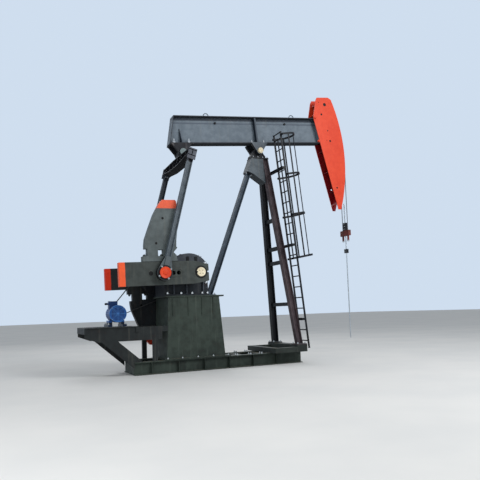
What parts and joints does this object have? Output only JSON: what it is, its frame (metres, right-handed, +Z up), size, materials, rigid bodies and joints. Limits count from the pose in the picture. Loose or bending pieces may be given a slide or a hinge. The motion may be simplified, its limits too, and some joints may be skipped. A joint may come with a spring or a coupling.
{
  "type": "beam pumping unit",
  "caption": "Conventional beam pumping unit: crank arms with counterweights and pitmans rock a walking beam whose curved head lifts a polished rod.",
  "frame": {"origin": "on the floor under the centre of the crankshaft, in the middle between the two skid runners", "axes": "+X towards the horsehead and the polished rod, +Y away from the ladder's side, +Z up"},
  "size_m": [8.663, 2.526, 8.6348],
  "materials": {
    "frame_paint": "satin, dusty",
    "black_paint": "satin",
    "rusty_paint": "worn",
    "beam_paint": "satin",
    "head_paint": "gloss, faded",
    "motor_paint": "gloss",
    "weight_paint": "satin, dusty",
    "pitman_paint": "satin, dusty",
    "cap_paint": "satin",
    "bright_steel": "machined",
    "rusty_steel": "rusted",
    "wire": "stranded",
    "belt": "matt"
  },
  "bodies": {
    "base": {"base_runner_near": "frame_paint", "base_runner_far": "frame_paint", "base_cross_beams": "frame_paint", "post_base": "frame_paint", "gearbox_pedestal": "frame_paint", "reducer_housing": "frame_paint", "reducer_cover": "frame_paint", "large_sheave": "black_paint", "brake_drum": "black_paint", "drive_belts": "belt", "motor_platform": "frame_paint", "motor_body": "motor_paint", "motor_fan_cover": "motor_paint", "motor_sheave": "black_paint", "post_leg_near": "rusty_paint", "post_leg_far": "black_paint", "post_leg_rear": "black_paint", "post_braces": "black_paint", "post_top": "black_paint", "saddle_bearing": "black_paint", "ladder": "black_paint", "ladder_cage": "black_paint"},
    "crank": {"crankshaft": "cap_paint", "crank_near": "frame_paint", "crank_far": "frame_paint", "counterweight_near": "weight_paint", "counterweight_far": "weight_paint", "wrist_pins": "bright_steel"},
    "beam": {"walking_beam": "beam_paint", "saddle_lugs": "black_paint", "saddle_shaft": "cap_paint", "equalizer_lugs": "black_paint", "head_cheek_near": "head_paint", "head_cheek_far": "head_paint", "head_track": "head_paint", "head_lines": "wire"},
    "pitman": {"equalizer_beam": "black_paint", "pitman_near": "pitman_paint", "pitman_far": "pitman_paint", "wrist_bearing_near": "frame_paint", "wrist_bearing_far": "frame_paint"},
    "carrier": {"carrier_bar": "rusty_steel", "rod_clamps": "bright_steel", "hanger_lines": "wire", "polished_rod": "bright_steel"}
  },
  "joints": [
    {"name": "crank_turn", "type": "hinge", "parent": "base", "child": "crank", "pos_m": [0, 0, 2.7], "axis": [0, -1, 0], "range_deg": [-58.2, 45.5]},
    {"name": "beam_rock", "type": "hinge", "parent": "base", "child": "beam", "pos_m": [2.34, 0, 6.53], "axis": [0, -1, 0], "range_deg": [-28.4, 22.2]},
    {"name": "pitman_swing", "type": "hinge", "parent": "beam", "child": "pitman", "pos_m": [-0.15161, 0, 6.27132], "axis": [0, -1, 0], "range_deg": [-24.9, 31.8]},
    {"name": "carrier_lift", "type": "slide", "parent": "base", "child": "carrier", "axis": [0, 0, 1], "range_m": [-1.61, 1.26], "deforming": ["hanger_lines"]}
  ],
  "couplings": [
    {"joint": "beam_rock", "follows": "crank_turn", "ratio": 0.4861},
    {"joint": "pitman_swing", "follows": "crank_turn", "ratio": -0.5436},
    {"joint": "carrier_lift", "follows": "crank_turn", "m_per_rad": 1.5716}
  ]
}
